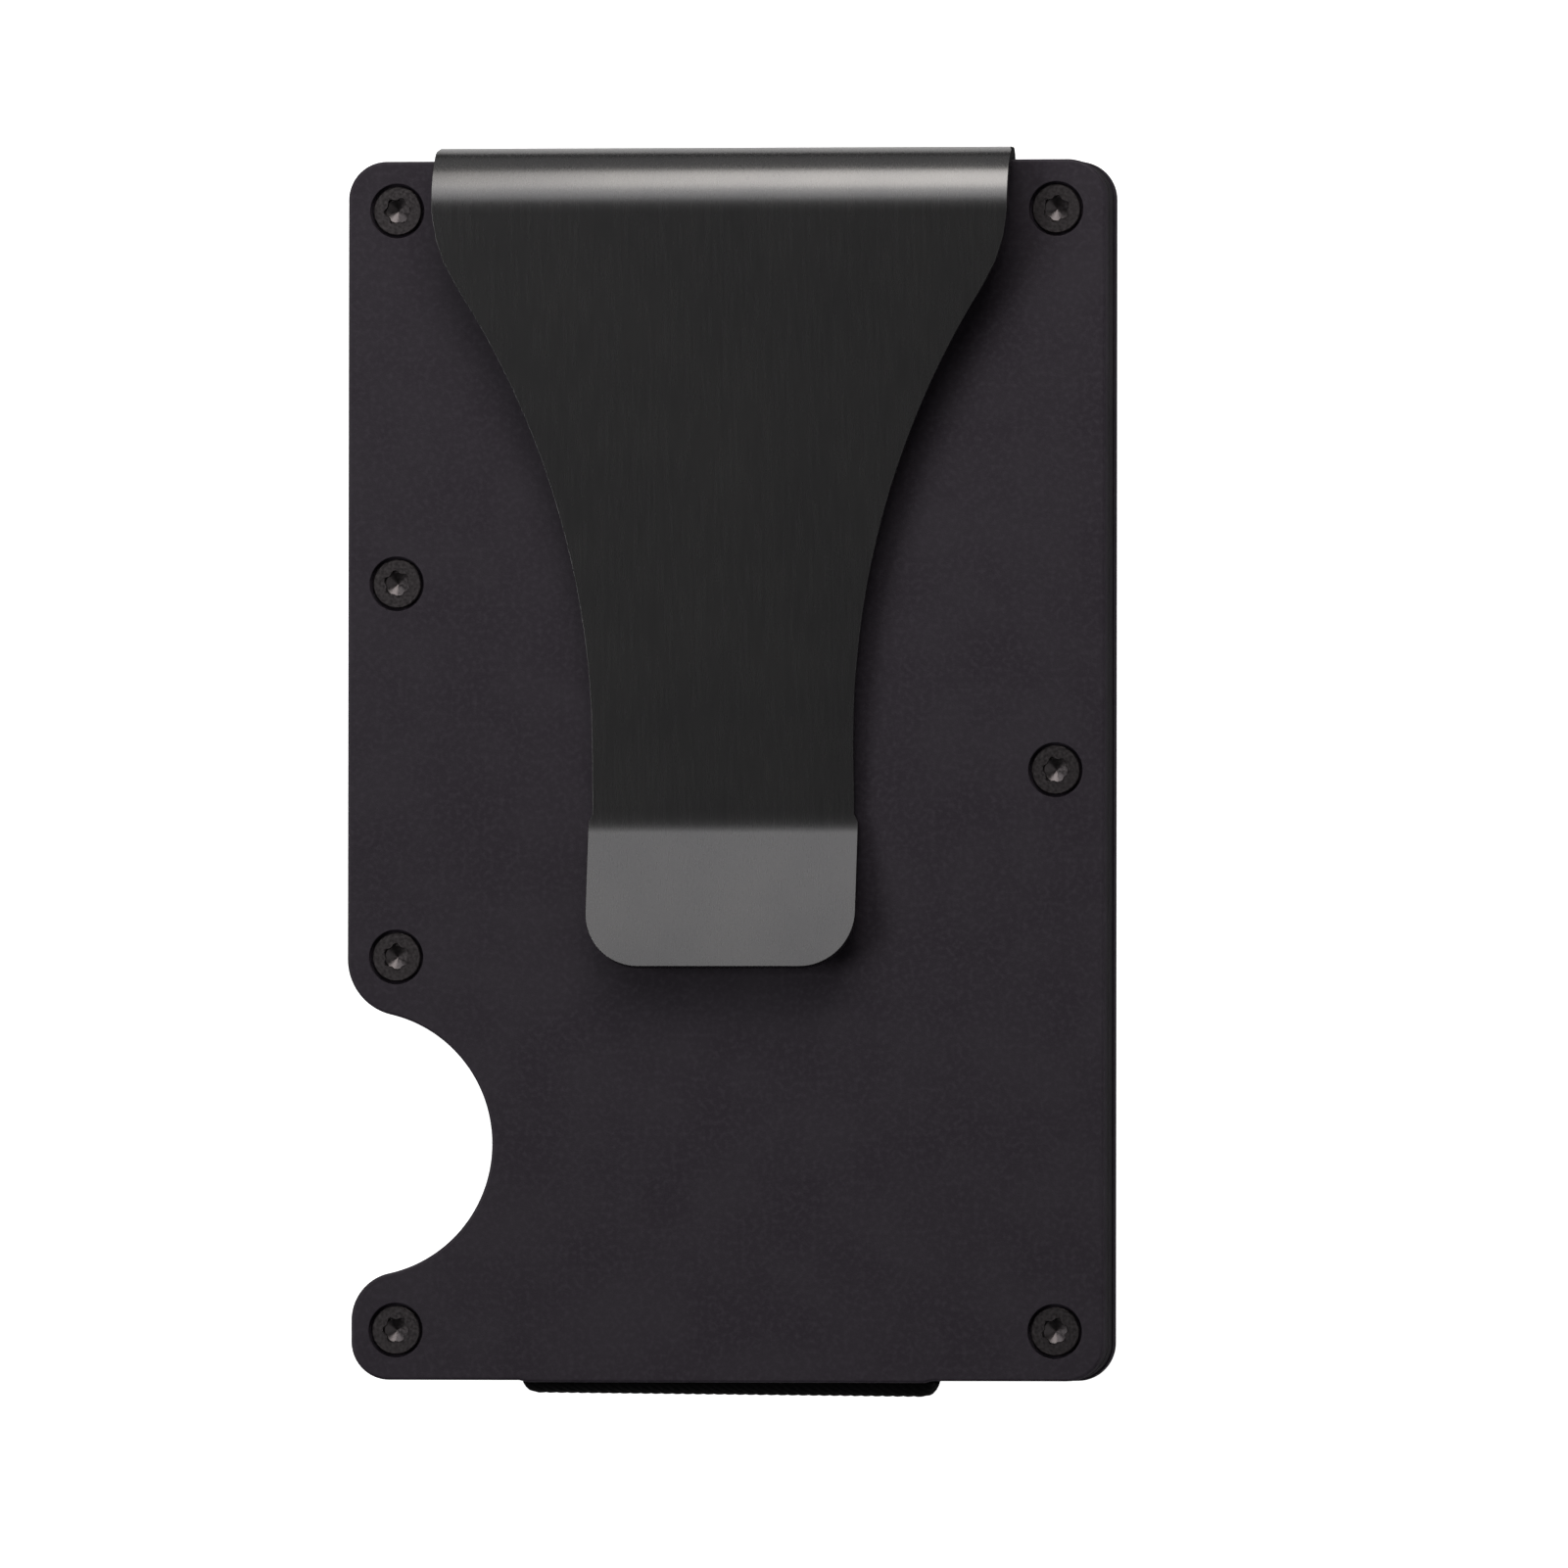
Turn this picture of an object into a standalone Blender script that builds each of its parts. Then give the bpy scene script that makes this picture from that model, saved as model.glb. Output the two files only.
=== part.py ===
"""Slim metal card wallet with a money clip, in metres.

The wallet lies on its back: +X right, +Y towards the bend of the clip, +Z out of the front face. The
origin is the centre of the outer face of the back plate. Two halves, each an outer plate screwed to an
inner plate, are held together by an elastic loop and an elastic side strap. The money clip hooks over
the top edge of the front half.
"""

import math

import bmesh
import bpy
from mathutils import Matrix, Vector

# Plates
PLATE_WIDTH = 0.054
PLATE_LENGTH = 0.086
OUTER_THICKNESS = 0.0012
INNER_THICKNESS = 0.0017
PLATE_GAP = 0.00005  # between an outer plate and its inner plate
HALVES_GAP = 0.0003  # between the two halves of the empty wallet
CORNER_RADIUS = 0.0027
EDGE_CHAMFER = 0.00025
INNER_INSET = 0.00015  # the inner plates stand this far inside the outer ones

# Thumb notch in the left edge
NOTCH_RADIUS = 0.00935
NOTCH_X = -0.0260
NOTCH_Y = -0.02634
UPPER_FILLET = 0.0040
LOWER_FILLET = 0.0034
HORN_INSET = 0.0003  # the left edge below the notch stands this far inside the one above it

# Screws: M2 countersunk, six-lobe recess
SCREW_INSET = 0.0035
SIDE_SCREW_Y = 0.01317
HEAD_RADIUS = 0.00185
SHANK_RADIUS = 0.00085
HEAD_HEIGHT = 0.0010
SCREW_LENGTH = 0.0028
HEAD_RECESS = 0.00005  # the head sits this far below the face
LOBE_RADIUS = 0.00095
LOBE_DEPTH = 0.0007
LOBE_SWING = 0.13
CLEARANCE_HOLE = 0.0011
TAPPED_HOLE = 0.0010
COUNTERSINK_RADIUS = 0.00195
ROUND_SIDES = 18

# Elastic
ELASTIC_WIDTH = 0.0294
ELASTIC_THICKNESS = 0.00075
ELASTIC_BULGE = 0.0010  # past the bottom edge of the plates
ELASTIC_TOP_REACH = 0.00075  # past the top edge, inside the clip
ELASTIC_CORNER = 0.0011
CHANNEL_DEPTH = 0.00095
CHANNEL_MARGIN = 0.0003
STRAP_WIDTH = 0.020
STRAP_INSET = 0.00015  # the strap's outer face, inside the plates' left edge
HEM_LEFT = -0.0193
HEM_RIGHT = -0.0173
HEM_THICKNESS = 0.00145

# Money clip
CLIP_SHEET = 0.0008
CLIP_EDGE_GAP = 0.0001  # between the plate's top edge and the clip's wall
CLIP_HEAD_HALF = 0.0205
EAR_INNER_X = 0.0156
EAR_OUTER_X = 0.0254
EAR_LOW_Y = 0.0370
EAR_HIGH_Y = 0.0423
EAR_GAP = 0.0001
WINDOW_TOP_GAP = 0.00005
CLIP_SPLIT = 0.0003  # the split between the fixed and the flexing part of the sheet
BEND_DEPTH = 0.0044
BEND_HEIGHT = 0.0035
SHOULDER_Y = 0.0400
SHOULDER_RADIUS = 0.0110
NECK_Y = 0.0019
NECK_HALF = 0.0093
CREASE_Y = -0.00364
CREASE_RISE = 0.0010  # the tongue's top face at the crease, above the front face
LIP_HALF = 0.0096
LIP_END_Y = -0.01366
LIP_CORNER = 0.00385
LIP_ANGLE = math.radians(12.0)

# Heights of the stack, from the back face up
BACK_OUTER_Z = (0.0, OUTER_THICKNESS)
BACK_INNER_Z = (BACK_OUTER_Z[1] + PLATE_GAP, BACK_OUTER_Z[1] + PLATE_GAP + INNER_THICKNESS)
FRONT_INNER_Z = (BACK_INNER_Z[1] + HALVES_GAP, BACK_INNER_Z[1] + HALVES_GAP + INNER_THICKNESS)
FRONT_OUTER_Z = (FRONT_INNER_Z[1] + PLATE_GAP, FRONT_INNER_Z[1] + PLATE_GAP + OUTER_THICKNESS)
MIDDLE_Z = FRONT_OUTER_Z[1] / 2

EDGE_X = PLATE_WIDTH / 2
EDGE_Y = PLATE_LENGTH / 2
OVERSHOOT = 0.001  # how far a cutter passes the face that it opens


def screw_places():
    """Name and (x, y) of each of the seven screws of a half, seen from the front."""
    x = EDGE_X - SCREW_INSET
    y = EDGE_Y - SCREW_INSET
    return {
        "top_left": (-x, y),
        "upper_left": (-x, SIDE_SCREW_Y),
        "lower_left": (-x, -SIDE_SCREW_Y),
        "bottom_left": (-x, -y),
        "top_right": (x, y),
        "middle_right": (x, 0.0),
        "bottom_right": (x, -y),
    }


def clear_scene():
    for obj in list(bpy.data.objects):
        bpy.data.objects.remove(obj, do_unlink=True)


def make_material(name, colour, roughness, metallic):
    material = bpy.data.materials.new(name)
    material.use_nodes = True
    shader = material.node_tree.nodes["Principled BSDF"]
    shader.inputs["Base Color"].default_value = (*colour, 1.0)
    shader.inputs["Roughness"].default_value = roughness
    shader.inputs["Metallic"].default_value = metallic
    return material


def new_object(name, mesh, material=None):
    obj = bpy.data.objects.new(name, mesh)
    if material and not mesh.materials:
        mesh.materials.append(material)
    bpy.context.scene.collection.objects.link(obj)
    return obj


def mesh_from(name, points, faces):
    """A mesh whose faces all point outwards."""
    bm = bmesh.new()
    verts = [bm.verts.new(point) for point in points]
    for face in faces:
        bm.faces.new([verts[index] for index in face])
    bmesh.ops.recalc_face_normals(bm, faces=bm.faces)
    mesh = bpy.data.meshes.new(name)
    bm.to_mesh(mesh)
    bm.free()
    return mesh


def stacked(rings):
    """Points and faces of a closed body through rings of equal length, capped at both ends."""
    count = len(rings[0])
    points = [point for ring in rings for point in ring]
    faces = [tuple(reversed(range(count)))]
    for level in range(len(rings) - 1):
        low = level * count
        for i in range(count):
            j = (i + 1) % count
            faces.append((low + i, low + j, low + count + j, low + count + i))
    faces.append(tuple(range(len(points) - count, len(points))))
    return points, faces


def prism(name, outline, axis, low, high):
    """A closed outline extruded along X, Y or Z. The outline lists the other two coordinates."""
    spot = "xyz".index(axis)

    def lift(pair, height):
        values = list(pair)
        values.insert(spot, height)
        return tuple(values)

    rings = [[lift(pair, height) for pair in outline] for height in (low, high)]
    return mesh_from(name, *stacked(rings))


def arc(centre, radius, start, end, steps):
    """Points along an arc, with both ends. The angles are in degrees."""
    angles = (math.radians(start + (end - start) * i / steps) for i in range(steps + 1))
    return [(centre[0] + radius * math.cos(a), centre[1] + radius * math.sin(a)) for a in angles]


def notch_fillet(radius, edge_x):
    """The arc that joins an upright edge to the notch: its centre's x and height, and its sweep."""
    x = edge_x + radius
    height = math.sqrt((NOTCH_RADIUS + radius) ** 2 - (x - NOTCH_X) ** 2)
    return x, height, math.degrees(math.atan2(height, x - NOTCH_X))


def plate_outline(inset):
    """The plate's outline, anticlockwise, moved inwards by the inset."""
    radius = CORNER_RADIUS - inset
    x = EDGE_X - CORNER_RADIUS
    y = EDGE_Y - CORNER_RADIUS
    upper_x, upper_height, upper_sweep = notch_fillet(UPPER_FILLET, -EDGE_X)
    lower_x, lower_height, lower_sweep = notch_fillet(LOWER_FILLET, HORN_INSET - EDGE_X)
    outline = arc((HORN_INSET - x, -y), radius, 180, 270, 4)
    outline += arc((x, -y), radius, 270, 360, 4)
    outline += arc((x, y), radius, 0, 90, 4)
    outline += arc((-x, y), radius, 90, 180, 4)
    outline += arc((upper_x, NOTCH_Y + upper_height), UPPER_FILLET - inset, 180, 180 + upper_sweep, 4)
    outline += arc((NOTCH_X, NOTCH_Y), NOTCH_RADIUS + inset, upper_sweep, -lower_sweep, 14)[1:-1]
    outline += arc((lower_x, NOTCH_Y - lower_height), LOWER_FILLET - inset, 180 - lower_sweep, 180, 4)
    return outline


def plate(name, levels, material):
    """A plate through (height, inset) levels, from its lowest to its highest."""
    rings = [[(x, y, z) for x, y in plate_outline(inset)] for z, inset in levels]
    return new_object(name, mesh_from(name, *stacked(rings)), material)


def turned(name, profile, places):
    """Closed bodies turned about Z through a (radius, height) profile, one at each place."""
    points = []
    faces = []
    for x, y in places:
        rings = [
            [(x + px, y + py, z) for px, py in arc((0.0, 0.0), radius, 0, 360, ROUND_SIDES)[:-1]]
            for radius, z in profile
        ]
        body_points, body_faces = stacked(rings)
        faces += [tuple(index + len(points) for index in face) for face in body_faces]
        points += body_points
    return mesh_from(name, points, faces)


def cut(obj, mesh):
    """Takes a cutter away from the object. The cutter stays in the file, out of the render."""
    cutter = new_object(mesh.name, mesh)
    cutter.hide_render = True
    cutter.display_type = "WIRE"
    modifier = obj.modifiers.new(mesh.name, "BOOLEAN")
    modifier.operation = "DIFFERENCE"
    modifier.solver = "EXACT"
    modifier.object = cutter


def outer_plate(side, material):
    """A cover plate, chamfered on its outer edge, with seven countersunk holes."""
    front = side == "front"
    low, high = FRONT_OUTER_Z if front else BACK_OUTER_Z
    face, under, outwards = (high, low, 1) if front else (low, high, -1)
    levels = [(under, 0.0), (face - outwards * EDGE_CHAMFER, 0.0), (face, EDGE_CHAMFER)]
    obj = plate(f"outer_plate_{side}", sorted(levels), material)
    slope = COUNTERSINK_RADIUS - CLEARANCE_HOLE
    profile = [
        (CLEARANCE_HOLE, under - outwards * OVERSHOOT),
        (CLEARANCE_HOLE, face - outwards * slope),
        (COUNTERSINK_RADIUS + OVERSHOOT, face + outwards * OVERSHOOT),
    ]
    cut(obj, turned(f"countersinks_{side}", profile, screw_places().values()))
    return obj


def band_pocket(side, floor, outwards):
    """The channel for the elastic loop and, on the front half, the pockets for the clip's ears."""
    half = ELASTIC_WIDTH / 2 + CHANNEL_MARGIN
    end = EDGE_Y + OVERSHOOT
    outline = [(-half, -end), (half, -end)]
    if side == "front":
        pocket_x = EAR_OUTER_X + CHANNEL_MARGIN
        pocket_y = EAR_LOW_Y - CHANNEL_MARGIN
        outline += [(half, pocket_y), (pocket_x, pocket_y), (pocket_x, end)]
        outline += [(-pocket_x, end), (-pocket_x, pocket_y), (-half, pocket_y)]
    else:
        outline += [(half, end), (-half, end)]
    return prism(f"band_pocket_{side}", outline, "z", floor, floor + outwards * (CHANNEL_DEPTH + OVERSHOOT))


def strap_pocket(side, floor, inward_face, outwards):
    """The channel, the edge recess and the hem slot for the side strap, as one outline in X and Z."""
    past = EDGE_X + OVERSHOOT
    edge = EDGE_X - STRAP_INSET - ELASTIC_THICKNESS - INNER_INSET
    through = inward_face - outwards * OVERSHOOT
    top = floor + outwards * (CHANNEL_DEPTH + OVERSHOOT)
    slot_left = HEM_LEFT - CHANNEL_MARGIN
    slot_right = HEM_RIGHT + CHANNEL_MARGIN
    outline = [(-past, through), (-edge, through), (-edge, floor), (slot_left, floor)]
    outline += [(slot_left, through), (slot_right, through), (slot_right, top), (-past, top)]
    half = STRAP_WIDTH / 2 + CHANNEL_MARGIN
    return prism(f"strap_pocket_{side}", outline, "y", -half, half)


def inner_plate(side, material):
    """A liner plate: tapped holes, and pockets for the elastic and the clip on its outward side."""
    front = side == "front"
    low, high = FRONT_INNER_Z if front else BACK_INNER_Z
    outward_face, inward_face, outwards = (high, low, 1) if front else (low, high, -1)
    floor = outward_face - outwards * CHANNEL_DEPTH
    obj = plate(f"inner_plate_{side}", [(low, INNER_INSET), (high, INNER_INSET)], material)
    cut(obj, band_pocket(side, floor, outwards))
    cut(obj, strap_pocket(side, floor, inward_face, outwards))
    profile = [(TAPPED_HOLE, low - OVERSHOOT), (TAPPED_HOLE, high + OVERSHOOT)]
    cut(obj, turned(f"tapped_holes_{side}", profile, screw_places().values()))
    return obj


def screw_mesh():
    """A countersunk screw, its head's face at z = 0 and its shank down, with a six-lobe recess."""
    turns = [2 * math.pi * i / ROUND_SIDES for i in range(ROUND_SIDES)]

    def circle(radius, z):
        return [(radius * math.cos(a), radius * math.sin(a), z) for a in turns]

    def lobes(z):
        reach = [LOBE_RADIUS * (1 + LOBE_SWING * math.cos(6 * a)) / (1 + LOBE_SWING) for a in turns]
        return [(r * math.cos(a), r * math.sin(a), z) for r, a in zip(reach, turns)]

    rings = [
        lobes(-LOBE_DEPTH),
        lobes(0.0),
        circle(HEAD_RADIUS, 0.0),
        circle(SHANK_RADIUS, -HEAD_HEIGHT),
        circle(SHANK_RADIUS, -SCREW_LENGTH),
    ]
    mesh = mesh_from("countersunk_screw", *stacked(rings))
    mesh.shade_smooth()
    mesh.set_sharp_from_angle(angle=math.radians(35))
    return mesh


def make_screws(side, mesh, parent, material):
    front = side == "front"
    face = FRONT_OUTER_Z[1] - HEAD_RECESS if front else HEAD_RECESS
    for place, (x, y) in screw_places().items():
        obj = new_object(f"{side}_screw_{place}", mesh, material)
        obj.location = (x, y, face)
        if not front:
            obj.rotation_euler = (math.pi, 0.0, 0.0)
        keep_place_under(obj, parent)


def rounded_box(half_low, half_high, low, high, radius):
    """A rounded rectangle in Y and Z, anticlockwise."""
    corners = (
        ((half_low + radius, low + radius), 180),
        ((half_high - radius, low + radius), 270),
        ((half_high - radius, high - radius), 0),
        ((half_low + radius, high - radius), 90),
    )
    return [point for centre, turn in corners for point in arc(centre, radius, turn, turn + 90, 4)]


def elastic_heights():
    """Outer face heights of the elastic's back and front runs, in the middle of their channels."""
    slack = (CHANNEL_DEPTH + PLATE_GAP - ELASTIC_THICKNESS) / 2
    return BACK_OUTER_Z[1] + slack, FRONT_OUTER_Z[0] - slack


def elastic_loop(material):
    """The endless band round both inner plates, over the two short edges."""
    low, high = elastic_heights()
    y_low = -EDGE_Y - ELASTIC_BULGE
    y_high = EDGE_Y + ELASTIC_TOP_REACH
    wall = ELASTIC_THICKNESS
    outer = rounded_box(y_low, y_high, low, high, ELASTIC_CORNER)
    inner = rounded_box(y_low + wall, y_high - wall, low + wall, high - wall, ELASTIC_CORNER - wall)
    half = ELASTIC_WIDTH / 2
    points = [(x, y, z) for x in (-half, half) for ring in (outer, inner) for y, z in ring]
    count = len(outer)
    faces = []
    for i in range(count):
        j = (i + 1) % count
        left_out, left_in, right_out, right_in = ((i + k * count, j + k * count) for k in range(4))
        for first, second in (
            (left_out, right_out),
            (right_out, right_in),
            (right_in, left_in),
            (left_in, left_out),
        ):
            faces.append((first[0], first[1], second[1], second[0]))
    return new_object("elastic_loop", mesh_from("elastic_loop", points, faces), material)


def elastic_side_strap(material):
    """The short strap over the notch side. Its hemmed ends sit in the slots of the inner plates."""
    low, high = elastic_heights()
    wall = ELASTIC_THICKNESS
    turn_x = -EDGE_X + STRAP_INSET + ELASTIC_CORNER
    turn_low = (turn_x, low + ELASTIC_CORNER)
    turn_high = (turn_x, high - ELASTIC_CORNER)
    inner_corner = ELASTIC_CORNER - wall
    outline = [(HEM_RIGHT, high)]
    outline += arc(turn_high, ELASTIC_CORNER, 90, 180, 4)
    outline += arc(turn_low, ELASTIC_CORNER, 180, 270, 4)
    outline += [(HEM_RIGHT, low), (HEM_RIGHT, low + HEM_THICKNESS)]
    outline += [(HEM_LEFT, low + HEM_THICKNESS), (HEM_LEFT, low + wall)]
    outline += arc(turn_low, inner_corner, 270, 180, 4)
    outline += arc(turn_high, inner_corner, 180, 90, 4)
    outline += [(HEM_LEFT, high - wall), (HEM_LEFT, high - HEM_THICKNESS)]
    outline += [(HEM_RIGHT, high - HEM_THICKNESS)]
    half = STRAP_WIDTH / 2
    return new_object("elastic_side_strap", prism("elastic_side_strap", outline, "y", -half, half), material)


def clip_wall_y():
    """Inner and outer faces of the clip's wall, just past the top edge."""
    inner = EDGE_Y + CLIP_EDGE_GAP
    return inner, inner + CLIP_SHEET


def bend_base_z():
    """The height where the bend begins and the hinge of the flexing clip lies."""
    return FRONT_OUTER_Z[1]


def money_clip_mount(material):
    """The fixed end of the clip's sheet: a wall with a window for the elastic, and two ears."""
    ear_low = FRONT_INNER_Z[1] - CHANNEL_DEPTH + EAR_GAP
    ear_high = ear_low + CLIP_SHEET
    wall_top = bend_base_z() - CLIP_SPLIT / 2
    window_top = FRONT_OUTER_Z[0] + WINDOW_TOP_GAP
    wall_inner, wall_outer = clip_wall_y()
    head = CLIP_HEAD_HALF
    wall_outline = [(-head, ear_low), (-EAR_INNER_X, ear_low), (-EAR_INNER_X, window_top)]
    wall_outline += [(EAR_INNER_X, window_top), (EAR_INNER_X, ear_low), (head, ear_low)]
    wall_outline += [(head, wall_top), (-head, wall_top)]
    wall = prism("money_clip_mount", wall_outline, "y", wall_inner, wall_outer)
    obj = new_object("money_clip_mount", wall, material)
    for sign, side in ((-1, "left"), (1, "right")):
        root_y = (wall_inner + wall_outer) / 2
        ear = [(EAR_INNER_X, EAR_LOW_Y), (EAR_OUTER_X, EAR_LOW_Y), (EAR_OUTER_X, EAR_HIGH_Y)]
        ear += [(head, EAR_HIGH_Y), (head, root_y), (EAR_INNER_X, root_y)]
        outline = [(sign * x, y) for x, y in ear]
        join(obj, prism(f"clip_ear_{side}", outline, "z", ear_low, ear_high))
    hole_z = (ear_low - OVERSHOOT, ear_high + OVERSHOOT)
    places = screw_places()
    profile = [(CLEARANCE_HOLE, z) for z in hole_z]
    cut(obj, turned("ear_holes", profile, [places["top_left"], places["top_right"]]))
    return obj


def join(obj, mesh):
    """Adds a body to the object. The added body stays in the file, out of the render."""
    extra = new_object(mesh.name, mesh)
    extra.hide_render = True
    extra.display_type = "WIRE"
    modifier = obj.modifiers.new(mesh.name, "BOOLEAN")
    modifier.operation = "UNION"
    modifier.solver = "EXACT"
    modifier.object = extra


def clip_half_width(y):
    """Half the clip's width at a place along the tongue: head, shoulder, sweep, neck and lip."""
    if y >= SHOULDER_Y:
        return CLIP_HEAD_HALF
    shoulder_x = CLIP_HEAD_HALF - SHOULDER_RADIUS
    rise = SHOULDER_Y - NECK_Y
    # The sweep's arc meets the neck at NECK_Y, and touches the shoulder's arc.
    run = shoulder_x - NECK_HALF
    sweep = (run**2 + rise**2 - SHOULDER_RADIUS**2) / (2 * (run + SHOULDER_RADIUS))
    sweep_x = NECK_HALF + sweep
    touch = SHOULDER_RADIUS / (sweep + SHOULDER_RADIUS)
    touch_y = SHOULDER_Y - touch * rise
    if y >= touch_y:
        return shoulder_x + math.sqrt(SHOULDER_RADIUS**2 - (y - SHOULDER_Y) ** 2)
    if y >= NECK_Y:
        return sweep_x - math.sqrt(sweep**2 - (y - NECK_Y) ** 2)
    if y > CREASE_Y:
        return NECK_HALF
    round_y = LIP_END_Y + LIP_CORNER
    if y >= round_y:
        return LIP_HALF
    return LIP_HALF - LIP_CORNER + math.sqrt(max(LIP_CORNER**2 - (y - round_y) ** 2, 0.0))


def clip_profile():
    """The clip's top face in Y and Z, from the split up over the bend and down the tongue to the lip."""
    outer_y = clip_wall_y()[1]
    base = bend_base_z()
    centre_y = outer_y - BEND_DEPTH
    profile = [(outer_y, base + CLIP_SPLIT / 2)]
    for degrees in (15, 25, 35, 45, 55, 65, 75, 85, 93):
        turn = math.radians(degrees)
        profile.append((centre_y + BEND_DEPTH * math.cos(turn), base + BEND_HEIGHT * math.sin(turn)))
    crease_z = base + CREASE_RISE
    tongue_start = profile[-1]
    fractions = [0.02, 0.05, 0.09, 0.15, 0.25, 0.35, 0.45, 0.55, 0.65, 0.75, 0.87, 1.0]
    for fraction in fractions:
        y = tongue_start[0] + fraction * (CREASE_Y - tongue_start[0])
        profile.append((y, tongue_start[1] + fraction * (crease_z - tongue_start[1])))
    for degrees in (0, 30, 60, 80, 90):
        y = LIP_END_Y + LIP_CORNER * (1 - math.sin(math.radians(degrees)))
        profile.append((y, crease_z + (CREASE_Y - y) * math.tan(LIP_ANGLE)))
    return profile


def offset_profile(profile, distance):
    """The profile moved towards the plate, with mitred corners."""
    moved = []
    for i, point in enumerate(profile):
        before = Vector(profile[max(i - 1, 0)])
        after = Vector(profile[min(i + 1, len(profile) - 1)])
        here = Vector(point)
        first = (here - before).normalized() if i else (after - here).normalized()
        second = (after - here).normalized() if i < len(profile) - 1 else first
        normal = Vector((first.y + second.y, -first.x - second.x)).normalized()
        miter = max(normal.dot(Vector((first.y, -first.x))), 0.5)
        moved.append(here - normal * (distance / miter))
    return [tuple(point) for point in moved]


def money_clip(material):
    """The flexing part of the clip: bend, tapering tongue, crease and flared lip."""
    top = clip_profile()
    under = offset_profile(top, CLIP_SHEET)
    rings = []
    for (top_y, top_z), (under_y, under_z) in zip(top, under):
        half = clip_half_width(top_y)
        rings.append(
            [(-half, top_y, top_z), (half, top_y, top_z), (half, under_y, under_z), (-half, under_y, under_z)]
        )
    return new_object("money_clip", mesh_from("money_clip", *stacked(rings)), material)


def hinge_point():
    """A point on the axis about which the clip flexes, in the middle of the sheet."""
    return Vector((0.0, sum(clip_wall_y()) / 2, bend_base_z()))


def make_empty(name, location):
    empty = bpy.data.objects.new(name, None)
    empty.location = location
    empty.empty_display_size = 0.01
    bpy.context.scene.collection.objects.link(empty)
    return empty


def keep_place_under(obj, parent):
    obj.parent = parent
    obj.matrix_parent_inverse = Matrix.Translation(-world_location(parent))


def world_location(empty):
    location = Vector(empty.location)
    return location + world_location(empty.parent) if empty.parent else location


def main():
    clear_scene()
    anodised = make_material("black_anodised_aluminium", (0.036, 0.029, 0.036), 0.42, 0.5)
    liner = make_material("black_anodised_liner", (0.020, 0.018, 0.020), 0.5, 0.5)
    steel = make_material("dark_spring_steel", (0.10, 0.10, 0.10), 0.32, 1.0)
    screw_steel = make_material("black_oxide_steel", (0.045, 0.038, 0.034), 0.35, 1.0)
    elastic = make_material("black_elastic", (0.006, 0.006, 0.006), 0.9, 0.0)

    back_half = make_empty("back_half", (0.0, 0.0, 0.0))
    front_half = make_empty("front_half", (0.0, 0.0, MIDDLE_Z))
    clip_hinge = make_empty("clip_hinge", hinge_point() - Vector(front_half.location))
    clip_hinge.parent = front_half

    mesh = screw_mesh()
    for side, parent in (("back", back_half), ("front", front_half)):
        keep_place_under(outer_plate(side, anodised), parent)
        keep_place_under(inner_plate(side, liner), parent)
        make_screws(side, mesh, parent, screw_steel)
    keep_place_under(elastic_loop(elastic), back_half)
    keep_place_under(elastic_side_strap(elastic), back_half)
    keep_place_under(money_clip_mount(steel), front_half)
    keep_place_under(money_clip(steel), clip_hinge)


main()
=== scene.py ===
"""The looks of the slim metal card wallet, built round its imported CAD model. Lengths are in metres."""

import math

import bmesh
import bpy
from mathutils import Matrix, Vector


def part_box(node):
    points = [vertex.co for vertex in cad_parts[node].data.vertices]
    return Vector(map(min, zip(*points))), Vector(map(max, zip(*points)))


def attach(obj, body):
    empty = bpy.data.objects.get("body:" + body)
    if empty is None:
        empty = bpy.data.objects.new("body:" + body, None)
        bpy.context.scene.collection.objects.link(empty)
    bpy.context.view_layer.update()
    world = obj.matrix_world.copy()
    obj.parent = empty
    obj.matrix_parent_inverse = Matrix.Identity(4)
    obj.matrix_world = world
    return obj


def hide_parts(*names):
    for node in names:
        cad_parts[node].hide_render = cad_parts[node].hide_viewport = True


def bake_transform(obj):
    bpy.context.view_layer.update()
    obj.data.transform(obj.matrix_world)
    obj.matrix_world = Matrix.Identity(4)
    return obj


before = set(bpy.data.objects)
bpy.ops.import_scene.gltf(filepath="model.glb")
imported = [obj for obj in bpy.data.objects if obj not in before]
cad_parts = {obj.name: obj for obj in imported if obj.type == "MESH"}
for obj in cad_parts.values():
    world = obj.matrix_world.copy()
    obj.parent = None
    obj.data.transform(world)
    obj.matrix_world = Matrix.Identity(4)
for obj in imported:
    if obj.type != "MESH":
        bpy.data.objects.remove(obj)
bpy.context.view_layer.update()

# Plates, read from the frame
PLATE_LOW, PLATE_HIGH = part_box("outer_plate_front")
FACE_Z = PLATE_HIGH.z
EDGE_X = PLATE_HIGH.x
EDGE_Y = PLATE_HIGH.y
STACK = {
    name: (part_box(name)[0].z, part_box(name)[1].z)
    for name in ("outer_plate_back", "inner_plate_back", "inner_plate_front", "outer_plate_front")
}
CORNER_RADIUS = 0.0027
INNER_INSET = EDGE_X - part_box("inner_plate_front")[1].x
EDGE_ROUND = 0.00022
EDGE_ROUND_STEPS = 6
FINE_BREAK = 0.00005  # a barely broken edge
LAND_HALF = 0.0141  # half the width of the land over the elastic, at the bottom edge
LAND_RAMP = 0.0006
LAND_RISE = 0.00014

# Thumb notch
NOTCH_RADIUS = 0.00935
NOTCH_X = -0.0260
NOTCH_Y = -0.02634
UPPER_FILLET = 0.0040
LOWER_FILLET = 0.0034
HORN_INSET = 0.0003  # the edge below the notch stands this far inside the one above it

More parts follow.
